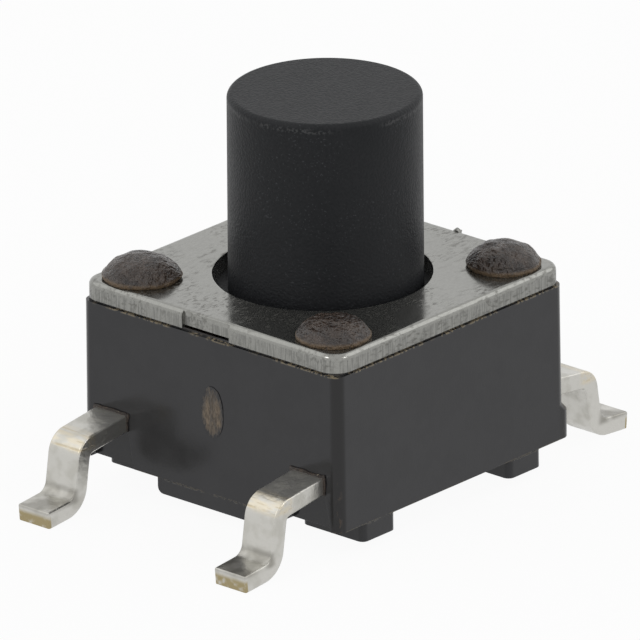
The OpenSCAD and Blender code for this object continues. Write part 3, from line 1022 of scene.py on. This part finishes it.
def makeHead(x, y, radius, height, seed):
    s = headSet
    rim = stakeSet["rim"]
    deselectAll()
    bpy.ops.mesh.primitive_uv_sphere_add(segments=s["sides"], ring_count=s["rings"],
                                         radius=1, location=(0, 0, 0))
    head = bpy.context.object
    for vertex in head.data.vertices:
        c = vertex.co
        lift, out = c.z, c.xy.length
        spot = c.copy() + Vector((seed, 0, 0))
        deep, waves = s["lump"]
        wide = radius * (1 + deep * noise.noise(spot * waves))
        if x < 0 and y < 0:                      # one head has a small ear at its right end
            spread = s["earSpread"]
            ear = max(0, c.normalized().dot(Vector(s["earWay"])) - (1 - spread)) / spread
            wide += s["ear"] * ear
        c.x, c.y = c.x * wide + x * stakeSet["at"], c.y * wide + y * stakeSet["at"]
        if lift >= 0:
            cap = 1 - s["round"] * out * out - (1 - s["round"]) * out ** 6
            deep, waves = s["wrinkle"]
            ripple = deep * noise.noise(spot * waves)
            deep, waves = s["crease"]
            ripple += deep * abs(noise.noise(spot * waves))
            c.z = sheetTop + rim + (height - rim) * cap - min(1, lift * s["crumple"]) * ripple
        else:                                    # under the rim, down on to the plate
            c.z = sheetTop + rim + max(lift * s["tuck"], -1) * (rim + s["bedded"])
    return head


heads = []
firstSeed, seedStep = headSet["seeds"]
for count, head in enumerate(headSet["heads"]):
    heads.append(makeHead(*head, seedStep * count + firstSeed))
stakeHeads = finishPiece(joinPieces(heads), "stake_heads", "base", meltedPlastic,
                         80, weld / 5)
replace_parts(stakeHeads, "base_housing")

# snap dome under the button, built in its resting shape
domeSet = {"thick": 0.06, "travel": 0.25, "rings": 12, "sides": 64}


def makeDome():
    s = domeSet
    radius = domeHigh.x
    rise = domeHigh.z - wellFloor
    ball = (radius ** 2 + rise ** 2) / (2 * rise)
    deselectAll()
    bpy.ops.mesh.primitive_circle_add(vertices=s["sides"], radius=radius, fill_type="NGON",
                                      location=(0, 0, domeHigh.z))
    disc = bpy.context.object
    bpy.ops.object.transform_apply(location=True, rotation=False, scale=False)
    chooseFaces(disc, lambda c, n: True)
    for ring in range(s["rings"]):
        bpy.ops.mesh.inset(thickness=radius / (s["rings"] + 1))
    bpy.ops.object.mode_set(mode="OBJECT")
    for vertex in disc.data.vertices:
        out = vertex.co.xy.length
        vertex.co.z = domeHigh.z - ball + math.sqrt(ball * ball - out * out)
    shell = disc.modifiers.new("sheet", "SOLIDIFY")
    shell.thickness = s["thick"]
    shell.offset = -1
    pick(disc)
    bpy.ops.object.modifier_apply(modifier=shell.name)
    for vertex in disc.data.vertices:            # the rim stands flat on the well's floor
        vertex.co.z = max(vertex.co.z, wellFloor)
    dome = finishPiece(disc, "snap_dome", "base", springSteel)
    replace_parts(dome, "contact_dome")
    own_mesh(dome)


makeDome()

# floor, lamps and world; each lamp is given as azimuth, elevation, watts and width
stageSet = {"floor": 0.6, "glow": 0.945, "paper": (0.65, 0.65, 0.65), "matte": 0.9, "sky": 0.72,
            "lampAway": 0.18,
            "lamps": ((-14, 40, 0.035, 0.05), (100, 36, 0.03, 0.05), (-62, 44, 0.024, 0.14),
                      (150, 39, 0.035, 0.12))}


def addLamp(azimuth, elevation, power, size):
    az, el = math.radians(azimuth), math.radians(elevation)
    way = Vector((math.sin(az) * math.cos(el), -math.cos(az) * math.cos(el), math.sin(el)))
    aim = Vector((0, 0, coverTop * mm))
    deselectAll()
    bpy.ops.object.light_add(type="AREA", location=aim + way * stageSet["lampAway"])
    lamp = bpy.context.object
    lamp.rotation_euler = way.to_track_quat("Z", "Y").to_euler()
    lamp.data.size = size
    lamp.data.energy = power
    lamp.visible_camera = False


def seesBackdrop(graph):
    path = addNode(graph, "LightPath", {}).outputs
    seen = reckon(graph, "ADD", path["Is Camera Ray"], path["Is Glossy Ray"])
    return reckon(graph, "MINIMUM", reckon(graph, "ADD", seen, path["Is Transmission Ray"]), 1.0)


def makeStage():
    deselectAll()
    bpy.ops.mesh.primitive_plane_add(size=stageSet["floor"], location=(0, 0, 0))
    floor = bpy.context.object
    floor.name = "studio_floor"
    paper, graph, shader = newMaterial("whitePaper")
    shader.inputs["Base Color"].default_value = (*stageSet["paper"], 1)
    shader.inputs["Roughness"].default_value = stageSet["matte"]
    glow = addNode(graph, "Emission", {"Color": (1, 1, 1, 1)})
    share = reckon(graph, "MULTIPLY", seesBackdrop(graph), stageSet["glow"])
    mix = addNode(graph, "MixShader", {0: share, 1: shader.outputs[0], 2: glow.outputs[0]})
    graph.links.new(mix.outputs[0], graph.nodes["Material Output"].inputs["Surface"])
    floor.data.materials.append(paper)
    world = bpy.data.worlds.new("studio")
    bpy.context.scene.world = world
    world.use_nodes = True
    graph = world.node_tree
    sky = graph.nodes["Background"]
    sky.inputs["Color"].default_value = (1, 1, 1, 1)
    sky.inputs["Strength"].default_value = stageSet["sky"]
    backdrop = addNode(graph, "Background", {"Strength": 1.0, "Color": (1, 1, 1, 1)})
    mix = addNode(graph, "MixShader", {0: seesBackdrop(graph), 1: sky.outputs[0],
                                       2: backdrop.outputs[0]})
    graph.links.new(mix.outputs[0], graph.nodes["World Output"].inputs["Surface"])
    for lamp in stageSet["lamps"]:
        addLamp(*lamp)


makeStage()
bpy.context.scene.view_settings.view_transform = "Standard"
print("stage ready")
